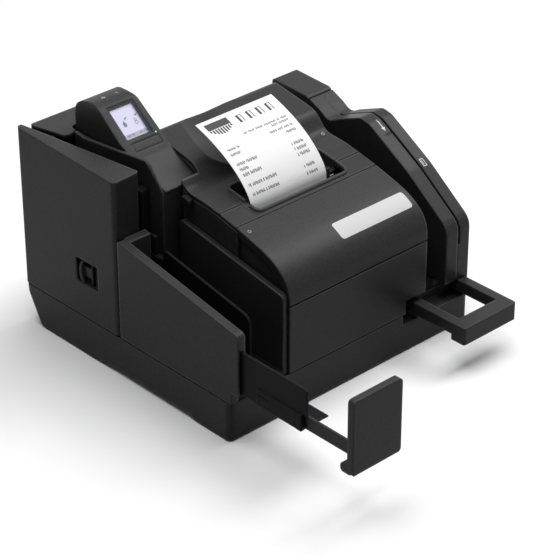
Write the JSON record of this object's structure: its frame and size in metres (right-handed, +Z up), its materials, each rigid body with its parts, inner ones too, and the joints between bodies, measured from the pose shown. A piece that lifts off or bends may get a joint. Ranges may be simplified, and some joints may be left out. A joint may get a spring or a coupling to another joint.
{
  "type": "cheque scanner",
  "caption": "Desktop cheque scanner with a U-shaped document path, front pocket with slide-out tray, receipt printer, hooded display and side card reader.",
  "frame": {"origin": "centre of the bounding box's bottom face, at the level of the feet", "axes": "+Z up, +Y towards the rear where the sockets are, +X towards the card reader"},
  "size_m": [0.26, 0.3752, 0.1983],
  "materials": {
    "case": "fine-grained charcoal moulded plastic",
    "dark": "plain black moulded plastic",
    "steel": "plated steel",
    "rubber": "black rubber",
    "gear": "pale acetal",
    "board": "green circuit board",
    "paper": "smooth white paper",
    "screen": "lit display",
    "window": "clear window"
  },
  "bodies": {
    "chassis": {"base_housing": "case", "rubber_feet": "rubber", "deck_plate": "steel", "main_board": "board", "connector_panel": "steel", "port_sockets": "steel", "left_casing": "case", "path_inner_guide": "dark", "hood": "case", "hood_window": "window", "display_module": "screen", "rear_casing": "case", "rear_inner_casing": "dark", "rear_top_cover": "case", "pocket_outer_panel": "case", "pocket_floor": "dark", "pocket_inner_wall": "case", "pocket_divider": "dark", "front_fascia": "case", "printer_case": "case", "front_bezel": "case", "paper_tub": "dark", "paper_motor": "steel", "head_bracket": "steel", "print_head": "steel", "cartridge_holder": "dark", "ink_cartridge": "dark", "feeder_wall": "case", "reader_shell": "case", "right_image_sensor": "dark", "feeder_floor": "dark", "feeder_inner_wall": "dark"},
    "left_cover": {"left_side_cover": "case", "left_cover_guide": "dark", "left_image_sensor": "dark"},
    "latch": {"cover_latch": "case"},
    "left_pinch": {"left_pinch_rollers": "rubber"},
    "left_drive": {"left_drive_rollers": "rubber"},
    "rear_drive": {"rear_drive_rollers": "rubber"},
    "right_feed": {"right_feed_rollers": "rubber"},
    "pick": {"pick_roller": "rubber"},
    "key": {"menu_key": "case"},
    "rocker": {"power_switch": "dark"},
    "gate": {"pocket_gate": "dark"},
    "tray": {"pocket_tray": "dark"},
    "stopper": {"pocket_stopper": "case"},
    "printer_front": {"front_cover": "case"},
    "printer_lid": {"roll_cover": "case", "receipt": "paper"},
    "platen": {"platen_roller": "rubber", "platen_gear": "gear"},
    "feed_gear": {"drive_gear": "gear"},
    "roll": {"paper_roll": "paper"},
    "cutter": {"cutter_blade": "steel"},
    "lever": {"cover_lever": "dark"},
    "card_head": {"reader_head": "steel"},
    "ink_head": {"magnetic_head": "steel"},
    "right_lid": {"right_rear_cover": "case"},
    "support": {"feeder_support": "case"},
    "pusher": {"feeder_pusher": "dark"}
  },
  "joints": [
    {"name": "left_cover_hinge", "type": "hinge", "parent": "chassis", "child": "left_cover", "pos_m": [-0.1215, 0.1833, 0.1], "axis": [0, 0, -1], "range_deg": [0, 85]},
    {"name": "latch_pull", "type": "hinge", "parent": "left_cover", "child": "latch", "pos_m": [-0.1256, 0.1044, 0.076], "axis": [0, 0, 1], "range_deg": [0, 25], "stiffness_Nm_per_rad": 0.05},
    {"name": "left_pinch_turn", "type": "hinge", "parent": "left_cover", "child": "left_pinch", "pos_m": [-0.11759, 0.12983, 0.1], "axis": [0, 0, 1], "continuous": true},
    {"name": "left_drive_turn", "type": "hinge", "parent": "chassis", "child": "left_drive", "pos_m": [-0.10623, 0.1322, 0.1], "axis": [0, 0, 1], "continuous": true},
    {"name": "rear_drive_turn", "type": "hinge", "parent": "chassis", "child": "rear_drive", "pos_m": [0.02, 0.1678, 0.08], "axis": [0, 0, 1], "continuous": true},
    {"name": "right_feed_turn", "type": "hinge", "parent": "chassis", "child": "right_feed", "pos_m": [0.0956, 0.129, 0.08], "axis": [0, 0, 1], "continuous": true},
    {"name": "pick_turn", "type": "hinge", "parent": "chassis", "child": "pick", "pos_m": [0.108, 0.069, 0.08], "axis": [0, 0, 1], "continuous": true},
    {"name": "menu_key_press", "type": "slide", "parent": "chassis", "child": "key", "axis": [0, 0.6247, -0.7809], "range_m": [0, 0.001], "stiffness_N_per_m": 300},
    {"name": "power_rocker", "type": "hinge", "parent": "chassis", "child": "rocker", "pos_m": [0.051, 0.168, 0.0194], "axis": [1, 0, 0], "range_deg": [-8, 8]},
    {"name": "pocket_gate_swing", "type": "hinge", "parent": "chassis", "child": "gate", "pos_m": [-0.0964, 0.062, 0.08], "axis": [0, 0, 1], "range_deg": [-12, 12]},
    {"name": "tray_slide", "type": "slide", "parent": "chassis", "child": "tray", "axis": [0, 1, 0], "range_m": [0, 0.062]},
    {"name": "stopper_slide", "type": "slide", "parent": "tray", "child": "stopper", "axis": [0, 1, 0], "range_m": [0, 0.0435]},
    {"name": "front_cover_tip", "type": "hinge", "parent": "chassis", "child": "printer_front", "pos_m": [0.005, -0.0546, 0.0974], "axis": [1, 0, 0], "range_deg": [0, 75]},
    {"name": "roll_cover_lift", "type": "hinge", "parent": "chassis", "child": "printer_lid", "pos_m": [0.005, 0.112, 0.14], "axis": [-1, 0, 0], "range_deg": [0, 85]},
    {"name": "platen_turn", "type": "hinge", "parent": "printer_lid", "child": "platen", "pos_m": [-0.001, 0.021, 0.126], "axis": [1, 0, 0], "continuous": true},
    {"name": "feed_gear_turn", "type": "hinge", "parent": "chassis", "child": "feed_gear", "pos_m": [0.048, 0.02893, 0.10819], "axis": [1, 0, 0], "continuous": true},
    {"name": "roll_turn", "type": "hinge", "parent": "chassis", "child": "roll", "pos_m": [-0.001, 0.073, 0.1088], "axis": [1, 0, 0], "continuous": true},
    {"name": "cutter_stroke", "type": "slide", "parent": "chassis", "child": "cutter", "axis": [0, 1, 0], "range_m": [0, 0.0026]},
    {"name": "lever_pull", "type": "hinge", "parent": "chassis", "child": "lever", "pos_m": [-0.07, 0.053, 0.1395], "axis": [-1, 0, 0], "range_deg": [0, 18], "stiffness_Nm_per_rad": 0.1},
    {"name": "card_head_give", "type": "slide", "parent": "chassis", "child": "card_head", "axis": [-1, 0, 0], "range_m": [0, 0.0008], "stiffness_N_per_m": 200},
    {"name": "ink_head_give", "type": "slide", "parent": "chassis", "child": "ink_head", "axis": [1, 0, 0], "range_m": [0, 0.0015], "stiffness_N_per_m": 200},
    {"name": "right_lid_lift", "type": "hinge", "parent": "chassis", "child": "right_lid", "pos_m": [0.117, 0.1422, 0.1308], "axis": [-1, 0, 0], "range_deg": [0, 70]},
    {"name": "support_slide", "type": "slide", "parent": "chassis", "child": "support", "axis": [0, 1, 0], "range_m": [0, 0.054]},
    {"name": "pusher_swing", "type": "hinge", "parent": "chassis", "child": "pusher", "pos_m": [0.0854, 0.059, 0.075], "axis": [0, 0, 1], "range_deg": [0, 8], "stiffness_Nm_per_rad": 0.3}
  ],
  "couplings": [
    {"joint": "rear_drive_turn", "follows": "left_drive_turn", "ratio": 0.98182},
    {"joint": "right_feed_turn", "follows": "left_drive_turn", "ratio": 0.98182},
    {"joint": "left_pinch_turn", "follows": "left_drive_turn", "ratio": -0.94737},
    {"joint": "pick_turn", "follows": "left_drive_turn", "ratio": -0.81818},
    {"joint": "platen_turn", "follows": "roll_turn", "ratio": 5.1429},
    {"joint": "feed_gear_turn", "follows": "roll_turn", "ratio": -3.0857}
  ]
}
